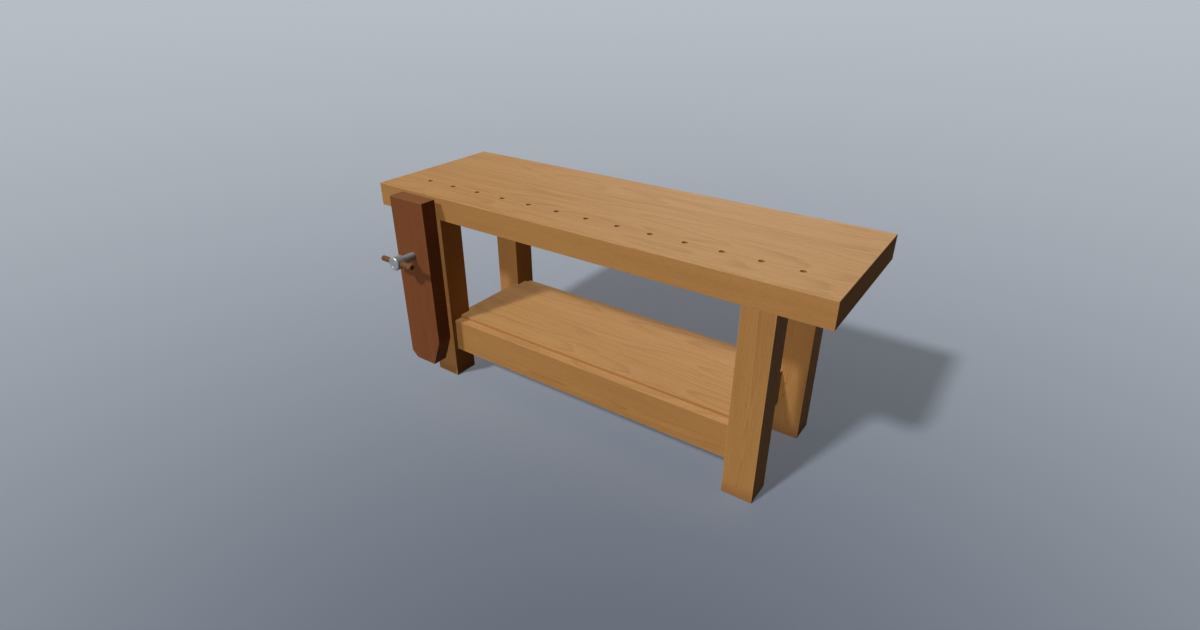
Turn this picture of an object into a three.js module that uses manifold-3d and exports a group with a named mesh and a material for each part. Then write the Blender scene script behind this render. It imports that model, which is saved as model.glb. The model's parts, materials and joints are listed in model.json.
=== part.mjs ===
// A woodworking bench: a thick top on four legs, tied by stretchers and end rails that carry a
// shelf, with a leg vise on the front left leg. Millimetres, +Z up, front towards -Y.

import * as THREE from 'three';
import { mergeVertices } from 'three/addons/utils/BufferGeometryUtils.js';
import Module from 'manifold-3d';

const wasm = await Module();
wasm.setup();

// Fits: the gap left round every seated piece, and round the pieces that slide or turn
const fit = 0.3;
const slidingFit = 0.5;
const cutThrough = 2;

// Top
const topLength = 2000;
const topDepth = 650;
const topThickness = 98;
const benchHeight = 862;
const dogHoleCount = 13;
const dogHolePitch = 140;
const dogHoleRadius = 10;
const dogRowSetback = 146;

// Legs, flush with the front of the top, each with a stub tenon into its underside
const legWidth = 120;
const legDepth = 112;
const leftOverhang = 237;
const rightOverhang = 175;
const baseDepth = 562;
const legTenonWidth = 80;
const legTenonDepth = 70;
const legTenonHeight = 60;

// Long stretchers
const stretcherThickness = 38;
const stretcherHeight = 146;
const stretcherInset = 20;
const stretcherBottom = 137;
const stretcherTenonLength = 50;
const stretcherTenonThickness = 14;
const stretcherTenonShoulder = 22;

// End rails, flush with the inner faces of the legs
const railThickness = 21;
const railTenonLength = 40;
const railTenonThickness = 9;
const railTenonShoulder = 20;

// Drawbore pegs, driven from the hidden faces
const pegRadius = 5;
const pegPointLength = 4;
const pegPointTaper = 1.5;
const stretcherPegInset = 39;
const stretcherPegSpacing = 56;
const railPegInset = 18;
const pegBite = 7;

// Shelf and the ledgers that carry it
const shelfThickness = 30;
const shelfProud = 13;
const ledgerWidth = 25;
const ledgerHeight = 25;
const ledgerScrewCount = 4;
const ledgerScrewEndInset = 90;
const ledgerScrewLength = 45;

// Leg vise: chop
const viseSetIn = 34.5;
const jawOpening = 25;
const chopWidth = 190;
const chopThickness = 70;
const chopBottom = 96;
const chopClipWidth = 32;
const chopClipHeight = 29;
const chopTaperWidth = 48;
const chopTaperHeight = 125;

// Leg vise: screw, hub and handle
const screwDrop = 247;
const screwRadius = 18;
const screwSpigotRadius = 17;
const screwTailPastLeg = 60;
const screwLegClearance = 2;
const screwChopClearance = 1;
const screwTailChamfer = 3;
const hubRadius = 29;
const hubLength = 42;
const hubChamfer = 3;
const hubStandoff = 61;
const hubPinRadius = 2.5;
const hubPinSunk = 1.5;
const handleRadius = 11.5;
const handleLength = 178;
const handleEndRound = 2.5;
const stopPinRadius = 2;
const stopPinLength = 33;
const stopPinEndInset = 10;

// Leg vise: garter, two plates let into the chop that run in a groove of the screw
const garterThickness = 8;
const garterWidth = 72;
const garterHalfHeight = 40;
const garterSunk = 1;
const garterGrooveDepth = 5;
const garterScrewInset = 11;
const garterScrewLength = 32;

// Leg vise: nut, with its barrel inside the leg and its flange on the leg's back
const nutFlangeWidth = 64;
const nutFlangeHeight = 124;
const nutFlangeThickness = 12;
const nutFlangeCorner = 12;
const nutBarrelRadius = 23.5;
const nutBarrelLength = 30;
const nutScrewInset = 13;
const nutScrewShankRadius = 4;
const nutScrewShankLength = 50;
const nutScrewHeadRadius = 7.5;
const nutScrewHeadHeight = 6;
const nutScrewHeadRound = 2;

// Leg vise: parallel guide and its pin
const guideWidth = 38;
const guideHeight = 60;
const guideBottom = 150;
const guideTenonLength = 50;
const guidePastLeg = 112;
const guideHoleRadius = 5.5;
const guideHolePitch = 24;
const guideHoleCount = 19;
const guideHoleEndInset = 21;
const guideRowInset = 16;
const guidePinRadius = 5;
const guidePinOvershoot = 10;
const guidePinHeadRadius = 11;
const guidePinHeadLength = 20;
const guidePinChamfer = 1.5;
const guidePegSetIn = 25;
const guidePegPast = 10;

// Countersunk wood screws
const woodScrewRadius = 2.4;
const woodScrewHeadRadius = 4.8;
const woodScrewHeadHeight = 3.6;
const woodScrewTipLength = 7;
const woodScrewTipRadius = 0.6;

// Facets round a full circle, and how near two vertices are one
const fineFacets = 32;
const holeFacets = 20;
const smallFacets = 10;
const mergeDistance = 1e-4;

const finishes = {
  benchWood: { color: 0xb28d61, roughness: 0.55, metalness: 0 },
  chopWood: { color: 0x7d4c2d, roughness: 0.5, metalness: 0 },
  handleWood: { color: 0x8a6038, roughness: 0.45, metalness: 0 },
  pegWood: { color: 0x9a744a, roughness: 0.6, metalness: 0 },
  steel: { color: 0x8b8f96, roughness: 0.35, metalness: 1 },
  castIron: { color: 0x4b4d50, roughness: 0.6, metalness: 1 },
};

const alongX = new THREE.Vector3(1, 0, 0);
const alongY = new THREE.Vector3(0, 1, 0);
const alongZ = new THREE.Vector3(0, 0, 1);
const against = (direction) => direction.clone().negate();

const middle = ([low, high]) => (low + high) / 2;
const grown = ([low, high], gap) => [low - gap, high + gap];
const around = (centre, width) => [centre - width / 2, centre + width / 2];

// A closed three.js geometry as a solid that can be joined and cut
function solidFrom(geometry) {
  geometry.deleteAttribute('normal');
  geometry.deleteAttribute('uv');
  const merged = mergeVertices(geometry, mergeDistance);
  const corners = merged.index.array;
  const triangles = [];
  for (let i = 0; i < corners.length; i += 3) {
    const [a, b, c] = corners.slice(i, i + 3);
    if (a !== b && b !== c && c !== a) triangles.push(a, b, c);
  }
  return new wasm.Manifold(new wasm.Mesh({
    numProp: 3,
    vertProperties: new Float32Array(merged.attributes.position.array),
    triVerts: new Uint32Array(triangles),
  }));
}

function geometryFrom(solid) {
  const mesh = solid.getMesh();
  const geometry = new THREE.BufferGeometry();
  geometry.setAttribute('position', new THREE.BufferAttribute(mesh.vertProperties, 3));
  geometry.setIndex(new THREE.BufferAttribute(mesh.triVerts, 1));
  geometry.computeVertexNormals();
  return geometry;
}

// A squared piece between two planes on each axis
function block(x, y, z) {
  const geometry = new THREE.BoxGeometry(x[1] - x[0], y[1] - y[0], z[1] - z[0]);
  return solidFrom(geometry.translate(middle(x), middle(y), middle(z)));
}

// A turned piece: the profile lists [radius, distance] from the start point along a direction
function turned(profile, start, direction, facets = fineFacets) {
  const points = profile.map(([radius, distance]) => new THREE.Vector2(radius, distance));
  const geometry = new THREE.LatheGeometry(points, facets);
  geometry.applyQuaternion(new THREE.Quaternion().setFromUnitVectors(alongY, direction));
  return solidFrom(geometry.translate(...start));
}

// A plain rod, its two ends chamfered where a chamfer is given
function rodProfile(radius, length, chamfer = 0) {
  const ends = [[radius, chamfer], [radius, length - chamfer]];
  if (chamfer === 0) return [[0, 0], ...ends, [0, length]];
  return [[0, 0], [radius - chamfer, 0], ...ends, [radius - chamfer, length], [0, length]];
}

// An outline in X and Z, pulled back from a front plane to a back plane
function plate(outline, front, back) {
  const geometry = new THREE.ExtrudeGeometry(outline, { depth: back - front, bevelEnabled: false });
  return solidFrom(geometry.rotateX(Math.PI / 2).translate(0, back, 0));
}

// A hole for a rod, open at both ends
function bore(radius, start, direction, length, facets = holeFacets) {
  const mouth = direction.clone().multiplyScalar(-cutThrough).add(new THREE.Vector3(...start));
  return turned(rodProfile(radius, length + 2 * cutThrough), mouth.toArray(), direction, facets);
}

// What is driven into wood has a start on the surface, a direction and a profile. The profile
// takes a gap: 0 gives the piece itself, more gives the hole that holds it.
const driven = (item, gap = 0) => turned(item.profile(gap), item.start, item.direction, smallFacets);

function peg(start, direction, length) {
  const profile = (gap) => [
    [0, gap > 0 ? -cutThrough : 0],
    [pegRadius + gap, gap > 0 ? -cutThrough : 0],
    [pegRadius + gap, length - pegPointLength],
    [pegRadius - pegPointTaper + gap, length + gap],
    [0, length + gap],
  ];
  return { start, direction, profile };
}

function woodScrew(start, direction, length) {
  const profile = (gap) => [
    [0, gap > 0 ? -cutThrough : 0],
    ...(gap > 0 ? [[woodScrewHeadRadius + gap, -cutThrough]] : []),
    [woodScrewHeadRadius + gap, gap],
    [woodScrewRadius + gap, woodScrewHeadHeight + gap],
    [woodScrewRadius + gap, length - woodScrewTipLength],
    [woodScrewTipRadius + gap, length + gap],
    [0, length + gap],
  ];
  return { start, direction, profile };
}

const bench = new THREE.Group();

function add(name, solid, finish) {
  const mesh = new THREE.Mesh(geometryFrom(solid), new THREE.MeshStandardMaterial(finishes[finish]));
  mesh.name = name;
  bench.add(mesh);
}

const cut = (solid, holes) => holes.reduce((rest, hole) => rest.subtract(hole), solid);
const join = (solid, others) => others.reduce((whole, other) => whole.add(other), solid);

// Places that several pieces share
const topUnderside = benchHeight - topThickness;
const leftLegX = [leftOverhang, leftOverhang + legWidth];
const rightLegX = [topLength - rightOverhang - legWidth, topLength - rightOverhang];
const frontLegY = [0, legDepth];
const backLegY = [baseDepth - legDepth, baseDepth];
const stretcherZ = [stretcherBottom, stretcherBottom + stretcherHeight];
const frontStretcherY = [stretcherInset, stretcherInset + stretcherThickness];
const backStretcherY = [baseDepth - stretcherInset - stretcherThickness, baseDepth - stretcherInset];
const betweenLegsX = grown([leftLegX[1], rightLegX[0]], -fit);
const shelfTop = stretcherZ[1] + shelfProud;
const shelfZ = [shelfTop - shelfThickness, shelfTop];
const railZ = [stretcherBottom, shelfZ[0] - fit];
const leftRailX = [leftLegX[1] - railThickness, leftLegX[1]];
const rightRailX = [rightLegX[0], rightLegX[0] + railThickness];

// The four corners: inX and inY point from a leg to the middle of the bench, and faceX and faceY
// are the leg's two inner faces
const leftEnd = { end: 'left', x: leftLegX, inX: 1, faceX: leftLegX[1], railX: leftRailX };
const rightEnd = { end: 'right', x: rightLegX, inX: -1, faceX: rightLegX[0], railX: rightRailX };
const frontSide = { side: 'front', y: frontLegY, inY: 1, faceY: frontLegY[1], stretcherY: frontStretcherY };
const backSide = { side: 'back', y: backLegY, inY: -1, faceY: backLegY[0], stretcherY: backStretcherY };
const corners = [];
for (const side of [frontSide, backSide]) {
  for (const end of [leftEnd, rightEnd]) {
    corners.push({ name: `${side.side}_${end.end}`, ...side, ...end });
  }
}
const outerSide = (span, inward) => (inward > 0 ? span[0] : span[1]);

// A stretch from an inner face of a leg into its wood, begun a little before the face
function intoLeg(face, inward, length) {
  const stretch = [face + inward * cutThrough, face - inward * length];
  return stretch.sort((a, b) => a - b);
}

const stretcherTenonY = (corner) => around(middle(corner.stretcherY), stretcherTenonThickness);
const railTenonX = (corner) => around(middle(corner.railX), railTenonThickness);
const stretcherTenonZ = grown(stretcherZ, -stretcherTenonShoulder);
const railTenonZ = grown(railZ, -railTenonShoulder);

// Each tenon, or with a gap the mortise that takes it
function legTenon(corner, gap = 0) {
  const x = grown(around(middle(corner.x), legTenonWidth), gap);
  const y = grown(around(middle(corner.y), legTenonDepth), gap);
  return block(x, y, [topUnderside - cutThrough, topUnderside + legTenonHeight + gap]);
}

function stretcherTenon(corner, gap = 0) {
  const x = intoLeg(corner.faceX, corner.inX, stretcherTenonLength + gap);
  return block(x, grown(stretcherTenonY(corner), gap), grown(stretcherTenonZ, gap));
}

function railTenon(corner, gap = 0) {
  const y = intoLeg(corner.faceY, corner.inY, railTenonLength + gap);
  return block(grown(railTenonX(corner), gap), y, grown(railTenonZ, gap));
}

// Two pegs through each stretcher tenon and one through each rail tenon
for (const corner of corners) {
  const pegX = corner.faceX - corner.inX * stretcherPegInset;
  const pastTenonY = Math.abs(corner.faceY - outerSide(stretcherTenonY(corner), corner.inY)) + pegBite;
  const outwardY = alongY.clone().multiplyScalar(-corner.inY);
  corner.stretcherPegs = around(middle(stretcherTenonZ), stretcherPegSpacing).map(
    (z) => peg([pegX, corner.faceY, z], outwardY, pastTenonY),
  );
  const pegY = corner.faceY - corner.inY * railPegInset;
  const pastTenonX = Math.abs(corner.faceX - outerSide(railTenonX(corner), corner.inX)) + pegBite;
  const outwardX = alongX.clone().multiplyScalar(-corner.inX);
  corner.railPeg = peg([corner.faceX, pegY, middle(railTenonZ)], outwardX, pastTenonX);
}

// Places of the vise
const viseX = leftLegX[0] + viseSetIn;
const screwZ = benchHeight - screwDrop;
const jawY = -jawOpening;
const chopX = around(viseX, chopWidth);
const chopY = [jawY - chopThickness, jawY];
const hubY = [chopY[0] - hubStandoff - hubLength, chopY[0] - hubStandoff];
const handleY = middle(hubY);
const handleHoleRadius = handleRadius + slidingFit;
const garterY = [jawY - garterSunk - garterThickness, jawY - garterSunk];
const grooveY = grown(garterY, slidingFit);
const grooveRadius = screwRadius - garterGrooveDepth;
const garterX = around(viseX, garterWidth);
const garterZ = around(screwZ, 2 * garterHalfHeight);
const screwTail = legDepth + screwTailPastLeg;
const nutFlangeY = [legDepth + fit, legDepth + fit + nutFlangeThickness];
const guideX = around(viseX, guideWidth);
const guideY = [jawY - guideTenonLength, legDepth + guidePastLeg];
const guideZ = [guideBottom, guideBottom + guideHeight];
const guidePinY = guideY[1] - guideHoleEndInset;
const guidePinZ = guideZ[0] + guideRowInset;

const guidePeg = peg(
  [chopX[0], jawY - guidePegSetIn, middle(guideZ)],
  alongX,
  guideX[1] + guidePegPast - chopX[0],
);

const garterScrews = [];
for (const z of grown(garterZ, -garterScrewInset)) {
  for (const x of grown(garterX, -garterScrewInset)) {
    garterScrews.push(woodScrew([x, garterY[1], z], against(alongY), garterScrewLength));
  }
}

// Round headed coach screws of the nut, measured from the back of its flange
function nutScrew(start) {
  const length = nutFlangeThickness + nutScrewShankLength;
  const profile = (gap) => {
    const shank = nutScrewShankRadius + gap;
    const head = gap > 0 ? [] : [
      [nutScrewHeadRadius - nutScrewHeadRound, -fit - nutScrewHeadHeight],
      [nutScrewHeadRadius, -fit - nutScrewHeadHeight + nutScrewHeadRound],
      [nutScrewHeadRadius, -fit],
    ];
    const top = gap > 0 ? -cutThrough : -fit;
    return [
      [0, gap > 0 ? top : -fit - nutScrewHeadHeight],
      ...head,
      [shank, top],
      [shank, length - woodScrewTipLength],
      [woodScrewTipRadius + gap, length + gap],
      [0, length + gap],
    ];
  };
  return { start, direction: against(alongY), profile };
}

const nutScrews = [];
for (const z of grown(around(screwZ, nutFlangeHeight), -nutScrewInset)) {
  for (const x of grown(around(viseX, nutFlangeWidth), -nutScrewInset)) {
    nutScrews.push(nutScrew([x, nutFlangeY[1], z]));
  }
}

// Top: one thick glued-up slab with a row of dog holes and a blind mortise over each leg
const dogHoles = [];
for (let i = 0; i < dogHoleCount; i += 1) {
  const x = topLength / 2 + (i - (dogHoleCount - 1) / 2) * dogHolePitch;
  dogHoles.push(bore(dogHoleRadius, [x, dogRowSetback, topUnderside], alongZ, topThickness));
}
const slab = block([0, topLength], [0, topDepth], [topUnderside, benchHeight]);
const legMortises = corners.map((corner) => legTenon(corner, fit));
add('bench_top', cut(slab, [...dogHoles, ...legMortises]), 'benchWood');

// Legs: the front left one also takes the vise's screw, nut and parallel guide
const nutHoleStart = [viseX, legDepth - nutBarrelLength, screwZ];
const viseCuts = [
  bore(screwRadius + screwLegClearance, [viseX, 0, screwZ], alongY, legDepth),
  bore(nutBarrelRadius + fit, nutHoleStart, alongY, nutBarrelLength, fineFacets),
  block(grown(guideX, slidingFit), grown(frontLegY, cutThrough), grown(guideZ, slidingFit)),
  ...nutScrews.map((screw) => driven(screw, fit)),
];
for (const corner of corners) {
  const post = block(corner.x, corner.y, [0, topUnderside - fit]).add(legTenon(corner));
  const joints = [stretcherTenon(corner, fit), railTenon(corner, fit)];
  const pegs = [...corner.stretcherPegs, corner.railPeg].map((item) => driven(item, fit));
  const vise = corner.name === 'front_left' ? viseCuts : [];
  add(`leg_${corner.name}`, cut(post, [...joints, ...pegs, ...vise]), 'benchWood');
}

// Long stretchers with their ledgers, which are screwed on from inside
const ledgerZ = [shelfZ[0] - fit - ledgerHeight, shelfZ[0] - fit];
const ledgerScrewRun = grown(betweenLegsX, -ledgerScrewEndInset);
const ledgerScrewStep = (ledgerScrewRun[1] - ledgerScrewRun[0]) / (ledgerScrewCount - 1);
for (const { side, stretcherY, inY } of [frontSide, backSide]) {
  const ends = corners.filter((corner) => corner.side === side);
  const inner = inY > 0 ? stretcherY[1] + fit : stretcherY[0] - fit;
  const ledgerY = [inner, inner + inY * ledgerWidth].sort((a, b) => a - b);
  const screws = [];
  for (let i = 0; i < ledgerScrewCount; i += 1) {
    const x = ledgerScrewRun[0] + i * ledgerScrewStep;
    const outward = alongY.clone().multiplyScalar(-inY);
    screws.push(woodScrew([x, inner + inY * ledgerWidth, middle(ledgerZ)], outward, ledgerScrewLength));
  }
  const screwHoles = screws.map((screw) => driven(screw, fit));
  const pegHoles = ends.flatMap((corner) => corner.stretcherPegs.map((item) => driven(item, fit)));
  const tenons = ends.map((corner) => stretcherTenon(corner));
  const stretcher = join(block(betweenLegsX, stretcherY, stretcherZ), tenons);
  add(`stretcher_${side}`, cut(stretcher, [...pegHoles, ...screwHoles]), 'benchWood');
  add(`shelf_ledger_${side}`, cut(block(betweenLegsX, ledgerY, ledgerZ), screwHoles), 'benchWood');
  screws.forEach((screw, i) => add(`ledger_screw_${side}_${i + 1}`, driven(screw), 'steel'));
}

// End rails between the front and back legs
for (const { end, railX } of [leftEnd, rightEnd]) {
  const ends = corners.filter((corner) => corner.end === end);
  const railY = grown([frontLegY[1], backLegY[0]], -fit);
  const rail = join(block(railX, railY, railZ), ends.map((corner) => railTenon(corner)));
  add(`end_rail_${end}`, cut(rail, ends.map((corner) => driven(corner.railPeg, fit))), 'benchWood');
}

for (const corner of corners) {
  corner.stretcherPegs.forEach((item, i) => {
    add(`stretcher_peg_${corner.name}_${i + 1}`, driven(item), 'pegWood');
  });
  add(`rail_peg_${corner.name}`, driven(corner.railPeg), 'pegWood');
}

// Shelf: one panel between the stretchers, notched round the legs, its ends flush with the end rails
const shelfX = [leftRailX[0], rightRailX[1]];
const shelfY = [frontStretcherY[1] + fit, backStretcherY[0] - fit];
const notches = corners.map(({ x, y }) => block(grown(x, fit), grown(y, fit), grown(shelfZ, cutThrough)));
add('shelf_panel', cut(block(shelfX, shelfY, shelfZ), notches), 'benchWood');

// Chop: a plank with a clipped lower left corner and a long taper on its lower right
const chopOutline = new THREE.Shape([
  new THREE.Vector2(chopX[0] + chopClipWidth, chopBottom),
  new THREE.Vector2(chopX[1] - chopTaperWidth, chopBottom),
  new THREE.Vector2(chopX[1], chopBottom + chopTaperHeight),
  new THREE.Vector2(chopX[1], benchHeight),
  new THREE.Vector2(chopX[0], benchHeight),
  new THREE.Vector2(chopX[0], chopBottom + chopClipHeight),
]);
const garterSeat = block(grown(garterX, fit), [garterY[0] - fit, jawY + cutThrough], grown(garterZ, fit));
const guideSeat = block(grown(guideX, fit), [guideY[0] - fit, jawY + cutThrough], grown(guideZ, fit));
add('vise_chop', cut(plate(chopOutline, chopY[0], chopY[1]), [
  bore(screwRadius + screwChopClearance, [viseX, chopY[0], screwZ], alongY, chopThickness),
  garterSeat,
  guideSeat,
  driven(guidePeg, fit),
  ...garterScrews.map((screw) => driven(screw, fit)),
]), 'chopWood');

// Garter: an upper and a lower plate that meet round the groove
const grooveBore = bore(grooveRadius + slidingFit, [viseX, garterY[0], screwZ], alongY, garterThickness);
const garterHalves = {
  lower: [garterZ[0], screwZ - fit / 2],
  upper: [screwZ + fit / 2, garterZ[1]],
};
for (const [half, z] of Object.entries(garterHalves)) {
  const screwHoles = garterScrews.map((screw) => driven(screw, fit));
  add(`garter_${half}`, cut(block(garterX, garterY, z), [grooveBore, ...screwHoles]), 'steel');
}
garterScrews.forEach((screw, i) => add(`garter_screw_${i + 1}`, driven(screw), 'steel'));

// Screw: a spigot for the hub, a plain shaft, the garter groove and the part that is threaded
const screwStart = hubY[0] + fit;
const handleHoleStart = [viseX - hubRadius, handleY, screwZ];
const handleHole = bore(handleHoleRadius, handleHoleStart, alongX, 2 * hubRadius);
const hubPinY = middle([handleY + handleHoleRadius, hubY[1]]);
const hubPinLength = 2 * (hubRadius - hubPinSunk);
const hubPinStart = [viseX, hubPinY, screwZ - hubPinLength / 2];
const hubPinHole = bore(hubPinRadius + fit, hubPinStart, alongZ, hubPinLength, smallFacets);
const screwProfile = [
  [0, 0],
  [screwSpigotRadius, 0],
  [screwSpigotRadius, hubY[1] + fit - screwStart],
  [screwRadius, hubY[1] + fit - screwStart],
  [screwRadius, grooveY[0] - screwStart],
  [grooveRadius, grooveY[0] - screwStart],
  [grooveRadius, grooveY[1] - screwStart],
  [screwRadius, grooveY[1] - screwStart],
  [screwRadius, screwTail - screwTailChamfer - screwStart],
  [screwRadius - screwTailChamfer, screwTail - screwStart],
  [0, screwTail - screwStart],
];
const screwShaft = turned(screwProfile, [viseX, screwStart, screwZ], alongY);
add('vise_screw', cut(screwShaft, [handleHole, hubPinHole]), 'steel');

// Hub: pinned on the spigot and bored across for the handle
const hubBody = turned(rodProfile(hubRadius, hubLength, hubChamfer), [viseX, hubY[0], screwZ], alongY);
const hubBore = bore(screwSpigotRadius + fit, [viseX, hubY[0], screwZ], alongY, hubLength, fineFacets);
add('screw_hub', cut(hubBody, [hubBore, handleHole, hubPinHole]), 'steel');
add('hub_pin', turned(rodProfile(hubPinRadius, hubPinLength), hubPinStart, alongZ, smallFacets), 'steel');

// Handle: a plain dowel that slides through the hub, with a small stop pin near each end
const handleX = around(viseX, handleLength);
const stopPins = grown(handleX, -stopPinEndInset).map((x) => [x, handleY - stopPinLength / 2, screwZ]);
const handleBar = turned(
  rodProfile(handleRadius, handleLength, handleEndRound),
  [handleX[0], handleY, screwZ],
  alongX,
  holeFacets,
);
const stopPinHoles = stopPins.map(
  (start) => bore(stopPinRadius + fit, start, alongY, stopPinLength, smallFacets),
);
add('vise_handle', cut(handleBar, stopPinHoles), 'handleWood');
['left', 'right'].forEach((side, i) => {
  const pin = turned(rodProfile(stopPinRadius, stopPinLength), stopPins[i], alongY, smallFacets);
  add(`handle_stop_pin_${side}`, pin, 'steel');
});

// Nut: a flange with round corners on the leg's back and a barrel inside the leg
function roundedOutline([left, right], [bottom, top], radius) {
  const outline = new THREE.Shape();
  outline.absarc(right - radius, bottom + radius, radius, -Math.PI / 2, 0);
  outline.absarc(right - radius, top - radius, radius, 0, Math.PI / 2);
  outline.absarc(left + radius, top - radius, radius, Math.PI / 2, Math.PI);
  outline.absarc(left + radius, bottom + radius, radius, Math.PI, 1.5 * Math.PI);
  return outline;
}
const nutOutline = roundedOutline(
  around(viseX, nutFlangeWidth),
  around(screwZ, nutFlangeHeight),
  nutFlangeCorner,
);
const nutFlange = plate(nutOutline, nutFlangeY[0], nutFlangeY[1]);
const nutFront = legDepth - nutBarrelLength + fit;
const nutBarrel = turned(
  rodProfile(nutBarrelRadius, nutFlangeY[1] - nutFront),
  [viseX, nutFront, screwZ],
  alongY,
);
add('vise_nut', cut(nutFlange.add(nutBarrel), [
  bore(screwRadius + slidingFit, [viseX, nutFront, screwZ], alongY, nutFlangeY[1] - nutFront, fineFacets),
  ...nutScrews.map((screw) => driven(screw, fit)),
]), 'castIron');
nutScrews.forEach((screw, i) => add(`nut_screw_${i + 1}`, driven(screw), 'steel'));

// Parallel guide: tenoned and pegged in the foot of the chop, sliding in the leg, with two
// staggered rows of holes for the guide pin
const guideHoles = [];
for (let i = 0; i < guideHoleCount; i += 1) {
  const y = guidePinY - i * guideHolePitch / 2;
  const z = i % 2 === 0 ? guidePinZ : guideZ[1] - guideRowInset;
  guideHoles.push(bore(guideHoleRadius, [guideX[0], y, z], alongX, guideWidth, smallFacets));
}
const guideBar = block(guideX, guideY, guideZ);
add('parallel_guide', cut(guideBar, [...guideHoles, driven(guidePeg, fit)]), 'chopWood');
add('guide_peg', driven(guidePeg), 'pegWood');

// Guide pin: a rod with a chamfered head, kept in the last hole
const guidePinLength = guidePinHeadLength + fit + guideWidth + guidePinOvershoot;
const guidePinProfile = [
  [0, 0],
  [guidePinHeadRadius - guidePinChamfer, 0],
  [guidePinHeadRadius, guidePinChamfer],
  [guidePinHeadRadius, guidePinHeadLength - guidePinChamfer],
  [guidePinHeadRadius - guidePinChamfer, guidePinHeadLength],
  [guidePinRadius, guidePinHeadLength],
  [guidePinRadius, guidePinLength - guidePinChamfer],
  [guidePinRadius - guidePinChamfer, guidePinLength],
  [0, guidePinLength],
];
const guidePinStart = [guideX[0] - fit - guidePinHeadLength, guidePinY, guidePinZ];
add('guide_pin', turned(guidePinProfile, guidePinStart, alongX, holeFacets), 'steel');

// The part's origin is under the middle of its box, on the floor
bench.position.set(-topLength / 2, -(hubY[0] + topDepth) / 2, 0);

export default bench;
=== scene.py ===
import json
import math

import bpy
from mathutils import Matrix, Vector


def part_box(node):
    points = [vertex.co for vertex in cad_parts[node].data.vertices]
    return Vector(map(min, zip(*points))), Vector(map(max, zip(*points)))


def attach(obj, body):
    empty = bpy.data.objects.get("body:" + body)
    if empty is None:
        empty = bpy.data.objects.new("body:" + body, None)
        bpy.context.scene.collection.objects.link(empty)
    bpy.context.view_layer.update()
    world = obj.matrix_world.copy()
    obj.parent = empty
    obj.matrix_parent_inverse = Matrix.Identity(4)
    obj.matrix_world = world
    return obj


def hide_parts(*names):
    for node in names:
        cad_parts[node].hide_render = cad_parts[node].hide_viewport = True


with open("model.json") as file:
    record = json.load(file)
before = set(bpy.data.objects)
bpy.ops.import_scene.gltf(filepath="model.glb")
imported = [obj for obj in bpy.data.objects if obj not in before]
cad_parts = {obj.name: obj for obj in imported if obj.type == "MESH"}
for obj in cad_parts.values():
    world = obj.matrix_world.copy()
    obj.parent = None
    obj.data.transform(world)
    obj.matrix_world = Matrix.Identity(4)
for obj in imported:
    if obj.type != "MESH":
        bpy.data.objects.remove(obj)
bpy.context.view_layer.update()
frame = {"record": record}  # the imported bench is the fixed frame

record = frame["record"]
bodyOf = {node: body for body, nodes in record["behaviour"]["bodies"].items() for node in nodes}

seat = 0.0003  # gap round a seated piece
run = 0.0005  # gap round a piece that slides or turns
past = 0.002  # how far a cutter reaches past the wood
weld = 1e-6  # points closer than this become one
smoothBelow = 35  # degrees, a sharper edge stays sharp
corners = ["front_left", "front_right", "back_left", "back_right"]


# Modelling helpers

def joinWords(node):  # front_left becomes FrontLeft
    return "".join(word.title() for word in node.split("_"))


def deselectAll():
    bpy.ops.object.select_all(action="DESELECT")


def makeActive(piece):
    deselectAll()
    piece.select_set(True)
    bpy.context.view_layer.objects.active = piece


def applyPlace():
    bpy.ops.object.transform_apply(location=True, rotation=True, scale=True)


def applyModifier(piece, modifier):
    makeActive(piece)
    bpy.ops.object.modifier_apply(modifier=modifier.name)


def addBlock(name, low, high):
    low, high = Vector(low), Vector(high)
    deselectAll()
    bpy.ops.mesh.primitive_cube_add(size=1, location=(low + high) / 2)
    block = bpy.context.object
    block.name = name
    block.scale = high - low
    applyPlace()
    return block


def drawProfile(name, points):  # a chain of points, radius across X and distance up Z
    deselectAll()
    bpy.ops.mesh.primitive_plane_add(size=1, enter_editmode=True)
    bpy.ops.mesh.select_mode(type="VERT")
    bpy.ops.mesh.merge(type="CENTER")
    last = (0, 0)
    for index, point in enumerate(points):
        move = (point[0] - last[0], 0, point[1] - last[1])
        if index == 0:
            bpy.ops.transform.translate(value=move)
        else:
            bpy.ops.mesh.extrude_vertices_move(TRANSFORM_OT_translate={"value": move})
        last = point
    bpy.ops.object.mode_set(mode="OBJECT")
    bpy.context.object.name = name
    return bpy.context.object


def closeSkin(piece):
    makeActive(piece)
    bpy.ops.object.mode_set(mode="EDIT")
    bpy.ops.mesh.select_all(action="SELECT")
    bpy.ops.mesh.remove_doubles(threshold=weld)
    bpy.ops.mesh.normals_make_consistent(inside=False)
    bpy.ops.object.mode_set(mode="OBJECT")


def aim(piece, start, direction):  # from upright at the origin to its place
    makeActive(piece)
    piece.rotation_mode = "QUATERNION"
    piece.rotation_quaternion = Vector(direction).to_track_quat("Z", "Y")
    piece.location = start
    applyPlace()
    return piece


def turnPiece(name, profile, start, direction, sides=64):
    piece = drawProfile(name, profile)
    lathe = piece.modifiers.new("lathe", "SCREW")
    lathe.steps = lathe.render_steps = sides
    lathe.use_merge_vertices = True
    lathe.merge_threshold = weld
    applyModifier(piece, lathe)
    closeSkin(piece)
    return aim(piece, start, direction)


def copyPiece(master, name, start, direction, spin=0.0):
    makeActive(master)
    bpy.ops.object.duplicate(linked=False)
    piece = bpy.context.object
    piece.name = name
    piece.rotation_euler = (0, 0, spin)
    applyPlace()
    return aim(piece, start, direction)


def softenEdges(piece, width, steps=2, angle=40):
    bevel = piece.modifiers.new("edges", "BEVEL")
    bevel.width = width
    bevel.segments = steps
    bevel.limit_method = "ANGLE"
    bevel.angle_limit = math.radians(angle)
    applyModifier(piece, bevel)


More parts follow.
